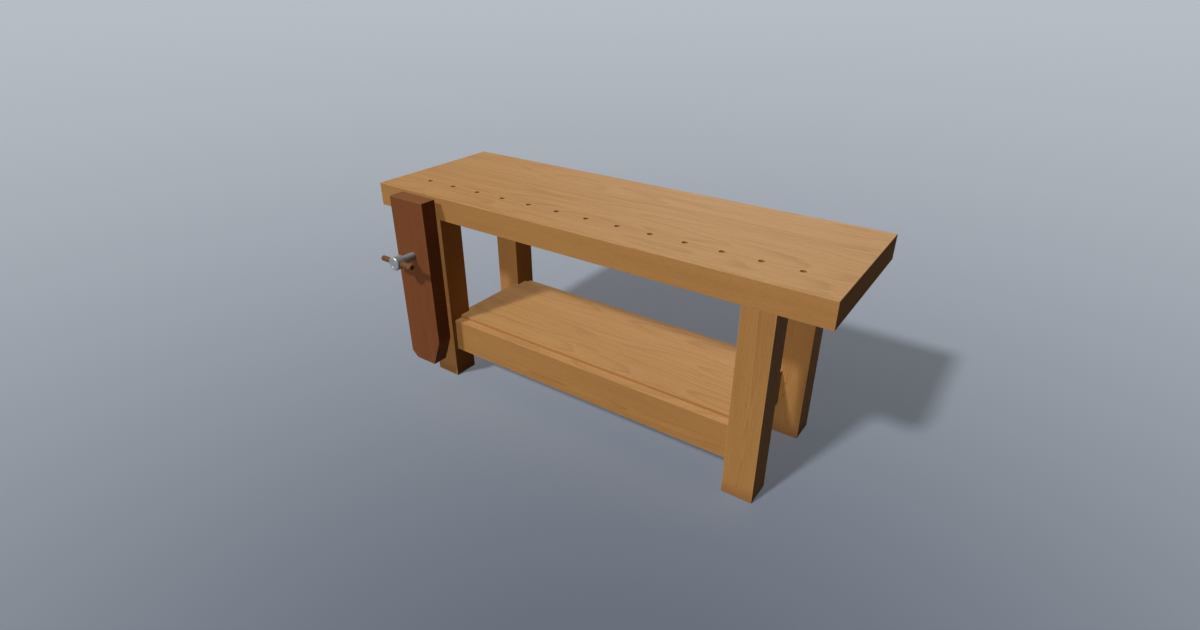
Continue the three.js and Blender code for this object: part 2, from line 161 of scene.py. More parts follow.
def shape(piece, tool, operation="DIFFERENCE"):
    cut = piece.modifiers.new("cut", "BOOLEAN")
    cut.operation = operation
    cut.solver = "EXACT"
    cut.object = tool
    applyModifier(piece, cut)
    bpy.data.objects.remove(tool)


def mortise(piece, low, high):
    shape(piece, addBlock("mortiseTool", low, high))


def drill(piece, start, direction, length, radius, rim=0.0, through=True, sides=48):
    flare = rim + past if rim else 0
    profile = [(0, -past), (radius + flare, -past)]
    if rim:
        profile.append((radius, rim))
    if through:
        if rim:
            profile.append((radius, length - rim))
        profile += [(radius + flare, length + past), (0, length + past)]
    else:
        profile += [(radius, length), (0, length)]
    shape(piece, turnPiece("drillTool", profile, start, direction, sides))


def sliceOff(piece, point, normal):  # cuts away what lies on the normal's side of a plane
    makeActive(piece)
    bpy.ops.object.mode_set(mode="EDIT")
    bpy.ops.mesh.select_all(action="SELECT")
    bpy.ops.mesh.bisect(plane_co=point, plane_no=normal, use_fill=True, clear_outer=True)
    bpy.ops.object.mode_set(mode="OBJECT")


def pick(piece, kind, wanted):  # opens a piece with the wanted faces or edges selected
    makeActive(piece)
    bpy.ops.object.mode_set(mode="EDIT")
    bpy.ops.mesh.select_mode(type=kind)
    bpy.ops.mesh.select_all(action="DESELECT")
    bpy.ops.object.mode_set(mode="OBJECT")
    for item in piece.data.polygons if kind == "FACE" else piece.data.edges:
        item.select = wanted(item)
    bpy.ops.object.mode_set(mode="EDIT")


def bevelEdges(piece, wanted, width, steps):  # wanted is asked about the two ends of each edge
    pick(piece, "EDGE", lambda edge: wanted(*[piece.data.vertices[i].co for i in edge.vertices]))
    bpy.ops.mesh.bevel(offset=width, segments=steps, affect="EDGES")
    bpy.ops.object.mode_set(mode="OBJECT")


def addTenon(piece, direction, low, high):  # draws the end face in to the tenon and pulls it out
    direction = Vector(direction)
    pick(piece, "FACE", lambda face: face.normal.dot(direction) > 0.9)
    ends = [face for face in piece.data.polygons if face.select]
    points = [piece.data.vertices[i].co for face in ends for i in face.vertices]
    faceLow = Vector([min(p[i] for p in points) for i in range(3)])
    faceHigh = Vector([max(p[i] for p in points) for i in range(3)])
    low, high = Vector(low), Vector(high)
    sizes = [(high[i] - low[i]) / (faceHigh[i] - faceLow[i]) if not direction[i] else 1 for i in range(3)]
    move = [(low[i] + high[i] - faceLow[i] - faceHigh[i]) / 2 if not direction[i] else 0 for i in range(3)]
    reach = max((high - faceHigh).dot(direction), (low - faceLow).dot(direction))
    bpy.ops.mesh.extrude_region_move()
    bpy.ops.transform.resize(value=sizes, center_override=(faceLow + faceHigh) / 2)
    bpy.ops.transform.translate(value=move)
    bpy.ops.mesh.extrude_region_move(TRANSFORM_OT_translate={"value": direction * reach})
    bpy.ops.object.mode_set(mode="OBJECT")


def finishPiece(piece, node, material):
    makeActive(piece)
    bpy.ops.object.shade_smooth_by_angle(angle=math.radians(smoothBelow))
    weigh = piece.modifiers.new("normals", "WEIGHTED_NORMAL")
    weigh.keep_sharp = True
    applyModifier(piece, weigh)
    piece.data.materials.clear()
    piece.data.materials.append(material)
    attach(piece, bodyOf[node])
    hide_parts(node)


# Shader maths: one socket, so that a sum on it adds its Math nodes

class Strand:
    def __init__(self, tree, socket=None):
        self.tree = tree
        self.socket = socket

    def node(self, kind, settings=None, sockets=None, take=0):
        made = self.tree.nodes.new(kind)
        for name, value in (settings or {}).items():
            if name == "stops":
                fillRamp(made.color_ramp, value)
            else:
                setattr(made, name, value)
        for name, value in (sockets or {}).items():
            if isinstance(value, Strand):
                self.tree.links.new(value.socket, made.inputs[name])
            else:
                made.inputs[name].default_value = value
        if isinstance(take, tuple):
            return [Strand(self.tree, made.outputs[name]) for name in take]
        return Strand(self.tree, made.outputs[take])

    def sum(self, operation, *terms):
        return self.node("ShaderNodeMath", {"operation": operation}, dict(enumerate(terms)))

    def __add__(self, other):
        return self.sum("ADD", self, other)

    __radd__ = __add__

    def __sub__(self, other):
        return self.sum("SUBTRACT", self, other)

    def __rsub__(self, other):
        return self.sum("SUBTRACT", other, self)

    def __mul__(self, other):
        return self.sum("MULTIPLY", self, other)

    __rmul__ = __mul__

    def __truediv__(self, other):
        return self.sum("DIVIDE", self, other)

    def __pow__(self, other):
        return self.sum("POWER", self, other)

    def __abs__(self):
        return self.sum("ABSOLUTE", self)

    def floor(self):
        return self.sum("FLOOR", self)

    def least(self, other):
        return self.sum("MINIMUM", self, other)

    def most(self, other):
        return self.sum("MAXIMUM", self, other)

    def rise(self, low, high):  # 0 below low, 1 above high, smooth between
        settings = {"interpolation_type": "SMOOTHSTEP"}
        sockets = {"Value": self, "From Min": low, "From Max": high}
        return self.node("ShaderNodeMapRange", settings, sockets)

    def fall(self, low, high):
        return 1 - self.rise(low, high)

    def vector(self, x, y, z):
        return self.node("ShaderNodeCombineXYZ", sockets={"X": x, "Y": y, "Z": z})

    def noise(self, vector, scale=1.0, detail=2.0, rough=0.5, take="Fac"):
        sockets = {"Vector": vector, "Scale": scale, "Detail": detail, "Roughness": rough}
        return self.node("ShaderNodeTexNoise", sockets=sockets, take=take)

    def blend(self, first, second):  # two colours, mixed by this value
        settings = {"data_type": "RGBA"}
        return self.node("ShaderNodeMix", settings, {0: self, 6: first, 7: second}, take=2)


def fillRamp(ramp, stops):
    while len(ramp.elements) < len(stops):
        ramp.elements.new(0.5)
    for element, (place, value) in zip(ramp.elements, stops):
        element.position = place
        element.color = (value, value, value, 1)


def newMaterial(name):
    material = bpy.data.materials.new(name)
    material.use_nodes = True
    material.node_tree.nodes.clear()
    return material, Strand(material.node_tree)


def surface(start, colour, roughness, height, look):
    bump = start.node("ShaderNodeBump", sockets={
        "Height": height, "Strength": look["bump"], "Distance": look["bumpHeight"]})
    skin = start.node("ShaderNodeBsdfPrincipled", sockets={
        "Base Color": colour, "Roughness": roughness, "Normal": bump,
        "Metallic": look["metallic"], "Specular IOR Level": look["specular"]})
    start.node("ShaderNodeOutputMaterial", sockets={"Surface": skin}, take=())


# Woods. Colours are linear, lengths in metres

# The paintedTop colours of each wood are painted light: the paler tones that faces lit from above get.
woods = {
    "bench": {
        "light": (0.415, 0.222, 0.079, 1), "dark": (0.300, 0.145, 0.046, 1),
        "paleLight": (0.562, 0.318, 0.124, 1), "paleDark": (0.432, 0.228, 0.080, 1),
        "pore": (0.17, 0.076, 0.025, 1), "worn": (0.50, 0.305, 0.138, 1),
        # hole is a painted shade colour for the walls of the dog holes
        "end": (0.25, 0.122, 0.042, 1), "hole": (0.275, 0.130, 0.042, 1),
        "ring": 0.0058, "sway": 0.055, "ringDepth": 0.42, "fibreDepth": 0.55,
        "cloudDepth": 0.42, "poreDepth": 0.40, "wear": 0.40, "wearWidth": 0.0045,
        "rough": 0.60, "bump": 0.35, "bumpHeight": 0.0004},
    "chop": {
        "light": (0.196, 0.070, 0.025, 1), "dark": (0.126, 0.041, 0.014, 1),
        "paleLight": (0.425, 0.172, 0.050, 1), "paleDark": (0.295, 0.106, 0.029, 1),
        "pore": (0.050, 0.016, 0.007, 1), "worn": (0.27, 0.115, 0.052, 1),
        "end": (0.12, 0.044, 0.018, 1),
        "ring": 0.0050, "sway": 0.045, "ringDepth": 0.45, "fibreDepth": 0.6,
        "cloudDepth": 0.45, "poreDepth": 0.55, "wear": 0.5, "wearWidth": 0.0045,
        "rough": 0.56, "bump": 0.4, "bumpHeight": 0.0004},
    "handle": {
        "light": (0.185, 0.082, 0.034, 1), "dark": (0.116, 0.047, 0.019, 1),
        "paleLight": (0.215, 0.100, 0.044, 1), "paleDark": (0.138, 0.058, 0.024, 1),
        "pore": (0.06, 0.023, 0.010, 1), "worn": (0.25, 0.125, 0.062, 1),
        "end": (0.10, 0.043, 0.020, 1),
        "ring": 0.0024, "sway": 0.012, "ringDepth": 0.45, "fibreDepth": 0.6,
        "cloudDepth": 0.4, "poreDepth": 0.45, "wear": 0.3, "wearWidth": 0.0025,
        "rough": 0.46, "bump": 0.3, "bumpHeight": 0.0003},
    "peg": {
        "light": (0.36, 0.195, 0.078, 1), "dark": (0.24, 0.118, 0.043, 1),
        "paleLight": (0.36, 0.195, 0.078, 1), "paleDark": (0.24, 0.118, 0.043, 1),
        "pore": (0.14, 0.064, 0.023, 1), "worn": (0.38, 0.215, 0.092, 1),
        "end": (0.25, 0.125, 0.046, 1),
        "ring": 0.0018, "sway": 0.004, "ringDepth": 0.5, "fibreDepth": 0.5,
        "cloudDepth": 0.3, "poreDepth": 0.45, "wear": 0.2, "wearWidth": 0.001,
        "rough": 0.62, "bump": 0.3, "bumpHeight": 0.0002}}
woodShine = {"metallic": 0.0, "specular": 0.10}
grainWaves = {  # per metre along and across the grain
    "sway": (0.9, 4.5), "fibre": (5, 230), "streak": (1.1, 26), "pore": (38, 1300)}
grainMarks = {
    "ringStops": [(0.0, 0.0), (0.55, 0.25), (0.86, 1.0), (1.0, 0.0)], "ringShift": 2,
    "poreRange": (0.60, 0.72), "endRange": (0.6, 0.85), "upRange": (0.6, 0.9),
    "streakDepth": 0.5, "shadeStart": 0.22, "raggedWear": 0.004,
    "endDepth": 0.45, "endRings": 0.4, "holeEdge": 0.0006, "raggedScuff": 0.05}
grainRough = {"fibre": 0.16, "end": 0.16, "pore": 0.12, "wear": 0.08}
grainHeight = {"fibre": 0.8, "pore": 0.9, "ring": 0.25}
heart = {  # how far the middle of the tree lies from a piece, and how pieces differ
    "boardOff": 0.06, "boardSpread": 0.14, "boardAlong": 9,
    "aside": 0.045, "asideTurn": 2.7, "off": 0.055, "spread": 0.03, "spreadTurn": 1.9, "along": 3.1}


def stretchGrain(start, kind, along, across, deep):
    lengthwise, crosswise = grainWaves[kind]
    return start.vector(along * lengthwise, across * crosswise, deep * crosswise)


def splitColour(start, colour):
    return start.node("ShaderNodeSeparateColor", sockets={"Color": colour}, take=("Red", "Green", "Blue"))


def splitPlace(start, place):
    return start.node("ShaderNodeSeparateXYZ", sockets={"Vector": place}, take=("X", "Y", "Z"))


def woodFinish(name, wood, low, high, grain, seed, boards=None, foot=None, bores=None):
    look = {**woodShine, **woods[wood]}
    marks = grainMarks
    material, start = newMaterial(name)
    low, high = Vector(low), Vector(high)
    middle, half = (low + high) / 2, (high - low) / 2
    place, normal = start.node("ShaderNodeTexCoord", take=("Object", "Normal"))
    places = splitPlace(start, place)
    spans = {axis: places[i] - middle[i] for i, axis in enumerate("xyz")}
    along = spans[grain]
    across, deep = [spans[axis] for axis in "xyz" if axis != grain]
    gaps = [half[i] - abs(spans[axis]) for i, axis in enumerate("xyz")]

    tone, seam = 0.0, 0.0
    if boards:  # glued-up boards, each from another part of the tree
        step = across / boards["width"] + boards["offset"]
        board = step.floor()
        settings = {"noise_dimensions": "1D"}
        pick = start.node("ShaderNodeTexWhiteNoise", settings, {"W": board + seed}, take="Color")
        red, green, blue = splitColour(start, pick)
        side = step - board - 0.5
        seam = (0.5 - abs(side)).fall(0.0, boards["seam"] / boards["width"])
        across = side * boards["width"] + (red - 0.5) * boards["width"]
        deep = deep + heart["boardOff"] + green * heart["boardSpread"]
        along = along + blue * heart["boardAlong"]
        tone = (green - 0.5) * boards["tone"]
    else:
        across = across + heart["aside"] * math.sin(seed * heart["asideTurn"])
        deep = deep + heart["off"] + heart["spread"] * math.cos(seed * heart["spreadTurn"])
        along = along + seed * heart["along"]

    sway = start.noise(stretchGrain(start, "sway", along, across, deep), detail=2.0, take="Color")
    swayAcross, swayDeep, cloud = splitColour(start, sway)
    across = across + (swayAcross - 0.5) * look["sway"]
    deep = deep + (swayDeep - 0.5) * look["sway"]
    radius = (across * across + deep * deep) ** 0.5
    rings = radius / look["ring"] + cloud * marks["ringShift"]
    late = start.node("ShaderNodeValToRGB", {"stops": marks["ringStops"]}, {"Fac": rings - rings.floor()})
    fibre = start.noise(stretchGrain(start, "fibre", along, across, deep), detail=3.0, rough=0.6) - 0.5
    streak = start.noise(stretchGrain(start, "streak", along, across, deep), detail=2.0) - 0.5
    pores = start.noise(stretchGrain(start, "pore", along, across, deep), detail=1.0)
    pores = pores.rise(*marks["poreRange"])

    normals = splitPlace(start, normal)
    endGrain = abs(normals["xyz".index(grain)]).rise(*marks["endRange"])
    paintedTopMask = normals[2].rise(*marks["upRange"])  # painted light from above: faces turned upward are painted paler
    nearer, farther = gaps[0].least(gaps[1]), gaps[0].most(gaps[1])
    second = nearer.most(farther.least(gaps[2]))  # the middle one of three gaps is small along an edge
    edge = (second + fibre * marks["raggedWear"]).fall(0.0, look["wearWidth"])

    depth = late * look["ringDepth"] + fibre * look["fibreDepth"] + streak * marks["streakDepth"]
    depth = depth + (cloud - 0.5) * look["cloudDepth"] + tone + marks["shadeStart"]
    shade = depth.rise(0.0, 1.0)
    plain = shade.blend(look["light"], look["dark"])
    # painted light: a paler copy of the wood, used on upward faces
    paintedTop = shade.blend(look["paleLight"], look["paleDark"])
    colour = paintedTopMask.blend(plain, paintedTop)
    colour = (pores * look["poreDepth"]).blend(colour, look["pore"])
    colour = (endGrain * (marks["endDepth"] + marks["endRings"] * late)).blend(colour, look["end"])
    colour = (edge * look["wear"]).blend(colour, look["worn"])
    if boards:
        colour = (seam * boards["seamDepth"]).blend(colour, look["pore"])
    if bores:  # the walls of a row of holes along X, painted darker: painted shade in the holes
        step = (places[0] - bores["first"]) / bores["pitch"] + 0.5
        offX, offY = (step - step.floor() - 0.5) * bores["pitch"], places[1] - bores["y"]
        reach = (offX * offX + offY * offY) ** 0.5
        inside = reach.fall(bores["radius"], bores["radius"] + marks["holeEdge"])
        colour = (inside * abs(normals[2]).fall(*marks["upRange"])).blend(colour, look["hole"])
    # darker towards the floor over the lowest part of a leg
    if foot:
        ragged = fibre * marks["raggedScuff"] + streak * marks["raggedScuff"]
        scuff = (places[2] + ragged).fall(0.0, foot["height"])
        colour = (scuff * foot["depth"]).blend(colour, look["pore"])
    roughness = look["rough"] + fibre * grainRough["fibre"] + endGrain * grainRough["end"]
    roughness = roughness + pores * grainRough["pore"] - edge * grainRough["wear"]
    height = fibre * grainHeight["fibre"] - pores * grainHeight["pore"] + late * grainHeight["ring"]
    surface(start, colour, roughness, height, look)
    return material


# Metals

metals = {
    "steel": {
        "bright": (0.375, 0.430, 0.480, 1), "dull": (0.270, 0.310, 0.348, 1),
        "stain": (0.22, 0.20, 0.18, 1), "marks": 2600, "rough": 0.40,
        "bump": 0.30, "bumpHeight": 0.00012, "metallic": 0.40, "specular": 0.5},
    "iron": {
        "bright": (0.135, 0.137, 0.143, 1), "dull": (0.075, 0.076, 0.080, 1),
        "stain": (0.10, 0.055, 0.035, 1), "marks": 420, "rough": 0.62,
        "bump": 0.6, "bumpHeight": 0.0006, "metallic": 0.85, "specular": 0.5}}
metalMarks = {
    "smear": 38.0, "spots": 150.0, "spotRange": (0.62, 0.78), "spotDepth": 0.4, "spotHeight": 0.4,
    "lineDepth": 0.8, "dullRange": (0.25, 0.8), "lineRough": 0.20, "smearRough": 0.25, "spotRough": 0.2}


def metalFinish(name, metal, centre, axis):  # turning marks follow the piece's own axis
    look = metals[metal]
    marks = metalMarks
    material, start = newMaterial(name)
    place = start.node("ShaderNodeTexCoord", take="Object")
    places = splitPlace(start, place)
    spans = {letter: places[i] - centre[i] for i, letter in enumerate("xyz")}
    along = spans[axis]
    first, second = [spans[letter] for letter in "xyz" if letter != axis]
    radius = (first * first + second * second) ** 0.5
    lines = start.noise(start.vector(along * look["marks"], radius * look["marks"], 0.0), detail=2.0) - 0.5
    smear = start.noise(place, scale=marks["smear"], detail=4.0, rough=0.6)
    spots = start.noise(place, scale=marks["spots"], detail=3.0, rough=0.65).rise(*marks["spotRange"])
    dulled = (smear + lines * marks["lineDepth"]).rise(*marks["dullRange"])
    colour = dulled.blend(look["bright"], look["dull"])
    colour = (spots * marks["spotDepth"]).blend(colour, look["stain"])
    roughness = look["rough"] + lines * marks["lineRough"]
    roughness = roughness + (smear - 0.5) * marks["smearRough"] + spots * marks["spotRough"]
    surface(start, colour, roughness, lines + spots * marks["spotHeight"], look)
    return material


# Shared places, from the frame

topLow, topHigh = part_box("bench_top")
legBox = {corner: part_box("leg_" + corner) for corner in corners}
stretcherBox = {side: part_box("stretcher_" + side) for side in ("front", "back")}
railBox = {end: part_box("end_rail_" + end) for end in ("left", "right")}
hubLow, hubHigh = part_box("screw_hub")
screwX, screwZ = (hubLow.x + hubHigh.x) / 2, (hubLow.z + hubHigh.z) / 2
handleY = (hubLow.y + hubHigh.y) / 2
chopLow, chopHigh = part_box("vise_chop")
guideLow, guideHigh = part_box("parallel_guide")


def inward(corner):  # towards the middle of the bench, along X and Y
    low = legBox[corner][0]
    return Vector((1 if low.x < 0 else -1, 1 if corner.startswith("front") else -1, 0))


# Bench top, one thick glued-up slab

benchTop = {
    "edge": 0.0018, "dogRadius": 0.010, "dogRim": 0.0012, "seed": 3.0,
    "boards": {"width": 0.0813, "offset": 0.5, "seam": 0.0007, "seamDepth": 0.35, "tone": 0.16}}
legTenon = {"width": 0.080, "depth": 0.070}


def legTenonBox(corner, gap):
    low, high = legBox[corner]
    x, y = (low.x + high.x) / 2, (low.y + high.y) / 2
    width, depth = legTenon["width"] / 2 + gap, legTenon["depth"] / 2 + gap
    return (x - width, y - depth, topLow.z - past), (x + width, y + depth, high.z + gap)


def makeTop():
    top = addBlock("benchTop", topLow, topHigh)
    softenEdges(top, benchTop["edge"], steps=3)
    holes = []
    for opening in record["physics"]["openings"]:
        if opening["name"].startswith("dog_hole"):
            low, high = opening["box_m"]
            holes.append(((low[0] + high[0]) / 2, (low[1] + high[1]) / 2, topHigh.z))
    for start in holes:
        drill(top, start, (0, 0, -1), topHigh.z - topLow.z, benchTop["dogRadius"], benchTop["dogRim"])
    for corner in corners:
        mortise(top, *legTenonBox(corner, seat))
    # where the dog holes lie, for the painted shade on their walls
    bores = {
        "first": holes[0][0], "pitch": holes[1][0] - holes[0][0],
        "y": holes[0][1], "radius": benchTop["dogRadius"]}
    boards, seed = benchTop["boards"], benchTop["seed"]
    wood = woodFinish("benchTopWood", "bench", topLow, topHigh, "x", seed, boards=boards, bores=bores)
    finishPiece(top, "bench_top", wood)


makeTop()
print("bench top done")


# Stretchers and end rails, tenoned into the legs and pegged

stretcher = {
    "tenonThickness": 0.014, "shoulder": 0.022, "edge": 0.0012, "seed": {"front": 1.3, "back": 4.2}}
rail = {
    "tenonThickness": 0.009, "shoulder": 0.020, "edge": 0.0012, "seed": {"left": 2.1, "right": 5.6}}


def stretcherTenonBox(side, gap):  # both tenons in one long box
    low, high = stretcherBox[side]
    y = (low.y + high.y) / 2
    half = stretcher["tenonThickness"] / 2 + gap
    shoulder = stretcher["shoulder"] - gap
    tenonLow = Vector((low.x - gap, y - half, low.z + shoulder))
    tenonHigh = Vector((high.x + gap, y + half, high.z - shoulder))
    return tenonLow, tenonHigh


def railTenonBox(end, gap):
    low, high = railBox[end]
    x = (low.x + high.x) / 2
    half = rail["tenonThickness"] / 2 + gap
    shoulder = rail["shoulder"] - gap
    tenonLow = Vector((x - half, low.y - gap, low.z + shoulder))
    tenonHigh = Vector((x + half, high.y + gap, high.z - shoulder))
    return tenonLow, tenonHigh


def placeAlong(node, direction):  # where a peg or screw starts, and its length
    low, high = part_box(node)
    middle, half = (low + high) / 2, (high - low) / 2
    length = 2 * abs(half.dot(direction))
    return middle - direction * length / 2, length


pegNodes = {}
for corner in corners:
    step = inward(corner)
    for number in "12":
        pegNodes["stretcher_peg_" + corner + "_" + number] = Vector((0, -step.y, 0))
    pegNodes["rail_peg_" + corner] = Vector((-step.x, 0, 0))
pegNodes["guide_peg"] = Vector((1, 0, 0))

pegs = {"radius": 0.005, "point": 0.004, "taper": 0.0015, "ease": 0.0008, "seedStep": 0.9}


def drillForPeg(piece, node):
    start, length = placeAlong(node, pegNodes[node])
    drill(piece, start, pegNodes[node], length + seat, pegs["radius"] + seat, through=False, sides=24)


def makeStretchers():
    for side in ("front", "back"):
        low, high = stretcherBox[side]
        left = legBox[side + "_left"][1].x + seat
        right = legBox[side + "_right"][0].x - seat
        piece = addBlock("stretcher" + side.title(), (left, low.y, low.z), (right, high.y, high.z))
        tenonLow, tenonHigh = stretcherTenonBox(side, 0)
        addTenon(piece, (-1, 0, 0), tenonLow, tenonHigh)
        addTenon(piece, (1, 0, 0), tenonLow, tenonHigh)
        softenEdges(piece, stretcher["edge"])
        for end in ("left", "right"):
            for number in "12":
                drillForPeg(piece, "stretcher_peg_" + side + "_" + end + "_" + number)
        wood = woodFinish("stretcherWood" + side.title(), "bench", low, high, "x", stretcher["seed"][side])
        finishPiece(piece, "stretcher_" + side, wood)


def makeRails():
    for end in ("left", "right"):
        low, high = railBox[end]
        front = legBox["front_" + end][1].y + seat
        back = legBox["back_" + end][0].y - seat
        piece = addBlock("endRail" + end.title(), (low.x, front, low.z), (high.x, back, high.z))
        tenonLow, tenonHigh = railTenonBox(end, 0)
        addTenon(piece, (0, -1, 0), tenonLow, tenonHigh)
        addTenon(piece, (0, 1, 0), tenonLow, tenonHigh)
        softenEdges(piece, rail["edge"])
        for side in ("front", "back"):
            drillForPeg(piece, "rail_peg_" + side + "_" + end)
        wood = woodFinish("endRailWood" + end.title(), "bench", low, high, "y", rail["seed"][end])
        finishPiece(piece, "end_rail_" + end, wood)


makeStretchers()
makeRails()
print("stretchers and end rails done")


# Legs, square posts with eased feet

# scuff makes a leg darker towards the floor over its lowest few centimetres
legs = {
    "edge": 0.0015, "foot": 0.004, "scuff": {"height": 0.07, "depth": 0.45}, "seed": 0.6, "seedStep": 1.7}
vise = {"screwHole": 0.020, "nutBarrel": 0.0235, "nutDepth": 0.030, "rim": 0.001}


def cutNutSeat(piece, front, back):  # the screw's hole, wider behind for the nut's barrel
    hole, barrel, rim = vise["screwHole"], vise["nutBarrel"] + seat, vise["rim"]
    step, end = back - front - vise["nutDepth"], back - front + past
    profile = [
        (0, -past), (hole + rim + past, -past), (hole, rim), (hole, step),
        (barrel, step), (barrel, end), (0, end)]
    shape(piece, turnPiece("seatTool", profile, (screwX, front, screwZ), (0, 1, 0), sides=48))


def makeLegs():
    for number, corner in enumerate(corners):
        low, high = legBox[corner]
        name = joinWords(corner)
        piece = addBlock("leg" + name, low, (high.x, high.y, topLow.z - seat))
        addTenon(piece, (0, 0, 1), *legTenonBox(corner, 0))
        bevelEdges(piece, lambda a, b: max(a.z, b.z) < low.z + past, legs["foot"], steps=2)
        softenEdges(piece, legs["edge"])
        side, end = corner.split("_")
        step = inward(corner)
        tenonLow, tenonHigh = stretcherTenonBox(side, seat)
        if step.x > 0:
            tenonHigh.x = high.x + past
        else:
            tenonLow.x = low.x - past
        mortise(piece, tenonLow, tenonHigh)
        tenonLow, tenonHigh = railTenonBox(end, seat)
        if step.y > 0:
            tenonHigh.y = high.y + past
        else:
            tenonLow.y = low.y - past
        mortise(piece, tenonLow, tenonHigh)
        for node in pegNodes:
            if corner in node:
                drillForPeg(piece, node)
        if corner == "front_left":
            cutNutSeat(piece, low.y, high.y)
            slotLow = (guideLow.x - run, low.y - past, guideLow.z - run)
            mortise(piece, slotLow, (guideHigh.x + run, high.y + past, guideHigh.z + run))
        seed = legs["seedStep"] * number + legs["seed"]
        wood = woodFinish("legWood" + name, "bench", low, high, "z", seed, foot=legs["scuff"])
        finishPiece(piece, "leg_" + corner, wood)


makeLegs()
print("legs done")


# Pegs, one turned and copied

def pegProfile(length):
    radius = pegs["radius"]
    return [(0, 0), (radius - pegs["ease"], 0), (radius, pegs["ease"]),
            (radius, length - pegs["point"]), (radius - pegs["taper"], length), (0, length)]


def makePegs():
    masters = {}
    for number, (node, direction) in enumerate(pegNodes.items()):
        start, length = placeAlong(node, direction)
        key = round(length, 4)
        if key not in masters:
            masters[key] = turnPiece("pegMaster", pegProfile(length), (0, 0, 0), (0, 0, 1), sides=32)
        name = joinWords(node)
        piece = copyPiece(masters[key], name[0].lower() + name[1:], start, direction)
        low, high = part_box(node)
        grain = "xyz"[[abs(value) for value in direction].index(1)]
        wood = woodFinish("pegWood" + name, "peg", low, high, grain, number * pegs["seedStep"])
        finishPiece(piece, node, wood)
    for master in masters.values():
        bpy.data.objects.remove(master)


makePegs()
print("pegs done")


# Shelf, one panel on two ledgers

shelf = {
    "edge": 0.0015, "seed": 7.0,
    "boards": {"width": 0.0892, "offset": 0.5, "seam": 0.0007, "seamDepth": 0.3, "tone": 0.14}}
ledgers = {"edge": 0.001, "screws": 4, "screwTurn": 1.1, "seed": {"front": 6.4, "back": 8.3}}
woodScrews = {
    "radius": 0.0024, "head": 0.0048, "headHeight": 0.0036, "rim": 0.0004, "rimIn": 0.0001,
    "tip": 0.007, "tipRadius": 0.0006, "slotWidth": 0.0011, "slotDepth": 0.0013}


def makeWoodScrew(length):
    size = woodScrews
    profile = [
        (0, 0), (size["head"], 0), (size["head"] - size["rimIn"], size["rim"]),
        (size["radius"], size["headHeight"]), (size["radius"], length - size["tip"]),
        (size["tipRadius"], length), (0, length)]
    fastener = turnPiece("screwMaster", profile, (0, 0, 0), (0, 0, 1), sides=32)
    half, reach = size["slotWidth"] / 2, size["head"] + past
    mortise(fastener, (-reach, -half, -past), (reach, half, size["slotDepth"]))
    return fastener


def drillForWoodScrew(piece, start, direction, length):
    head, radius = woodScrews["head"] + seat, woodScrews["radius"] + seat
    profile = [
        (0, -past), (head, -past), (head, seat), (radius, woodScrews["headHeight"] + seat),
        (radius, length), (0, length)]
    shape(piece, turnPiece("drillTool", profile, start, direction, sides=24))


def makeShelf():
    low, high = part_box("shelf_panel")
    panel = addBlock("shelfPanel", low, high)
    for corner in corners:
        legLow, legHigh = legBox[corner]
        notchLow = (legLow.x - seat, legLow.y - seat, low.z - past)
        mortise(panel, notchLow, (legHigh.x + seat, legHigh.y + seat, high.z + past))
    softenEdges(panel, shelf["edge"])
    wood = woodFinish("shelfWood", "bench", low, high, "x", shelf["seed"], boards=shelf["boards"])
    finishPiece(panel, "shelf_panel", wood)


def makeLedgers():
    for side in ("front", "back"):
        low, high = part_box("shelf_ledger_" + side)
        ledger = addBlock("shelfLedger" + side.title(), low, high)
        softenEdges(ledger, ledgers["edge"])
        direction = Vector((0, -1, 0)) if side == "front" else Vector((0, 1, 0))
        master = None
        for number in range(1, ledgers["screws"] + 1):
            node = "ledger_screw_" + side + "_" + str(number)
            start, length = placeAlong(node, direction)
            drillForWoodScrew(ledger, start, direction, length)
            if master is None:
                master = makeWoodScrew(length)
            name = "ledgerScrew" + side.title() + str(number)
            fastener = copyPiece(master, name, start, direction, number * ledgers["screwTurn"])
            finishPiece(fastener, node, metalFinish("steel" + fastener.name, "steel", start, "y"))
        bpy.data.objects.remove(master)
        wood = woodFinish("ledgerWood" + side.title(), "bench", low, high, "x", ledgers["seed"][side])
        finishPiece(ledger, "shelf_ledger_" + side, wood)


makeShelf()
makeLedgers()
print("shelf done")


# Vise chop, a dark plank with a clipped and a tapered lower corner

chop = {
    "edge": 0.002, "clip": (0.032, 0.029), "taper": (0.048, 0.125),
    "screwHole": 0.019, "rim": 0.0015, "seed": 2.0}


def trimCorner(piece, across, up, side):  # cuts the lower corner on one side
    edge = Vector((chopHigh.x if side > 0 else chopLow.x, chopLow.y, chopLow.z + up))
    sliceOff(piece, edge, (side * up, 0, -across))


def makeChop():
    piece = addBlock("viseChop", chopLow, chopHigh)
    trimCorner(piece, *chop["clip"], -1)
    trimCorner(piece, *chop["taper"], 1)
    softenEdges(piece, chop["edge"], steps=3, angle=15)
    thickness = chopHigh.y - chopLow.y
    drill(piece, (screwX, chopLow.y, screwZ), (0, 1, 0), thickness, chop["screwHole"], chop["rim"])
    plateLow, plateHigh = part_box("garter_lower")[0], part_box("garter_upper")[1]
    mortise(piece, (plateLow.x - seat, plateLow.y - seat, plateLow.z - seat),
            (plateHigh.x + seat, chopHigh.y + past, plateHigh.z + seat))
    mortise(piece, (guideLow.x - seat, guideLow.y - seat, guideLow.z - seat),
            (guideHigh.x + seat, chopHigh.y + past, guideHigh.z + seat))
    drillForPeg(piece, "guide_peg")
    for number in range(1, garter["screws"] + 1):
        start, length = placeAlong("garter_screw_" + str(number), Vector((0, -1, 0)))
        drillForWoodScrew(piece, start, (0, -1, 0), length)
    wood = woodFinish("chopWood", "chop", chopLow, chopHigh, "z", chop["seed"])
    finishPiece(piece, "vise_chop", wood)


# Garter, two plates that run in the screw's groove

garter = {"bore": 0.0135, "edge": 0.0006, "screws": 4, "screwTurn": 0.8}


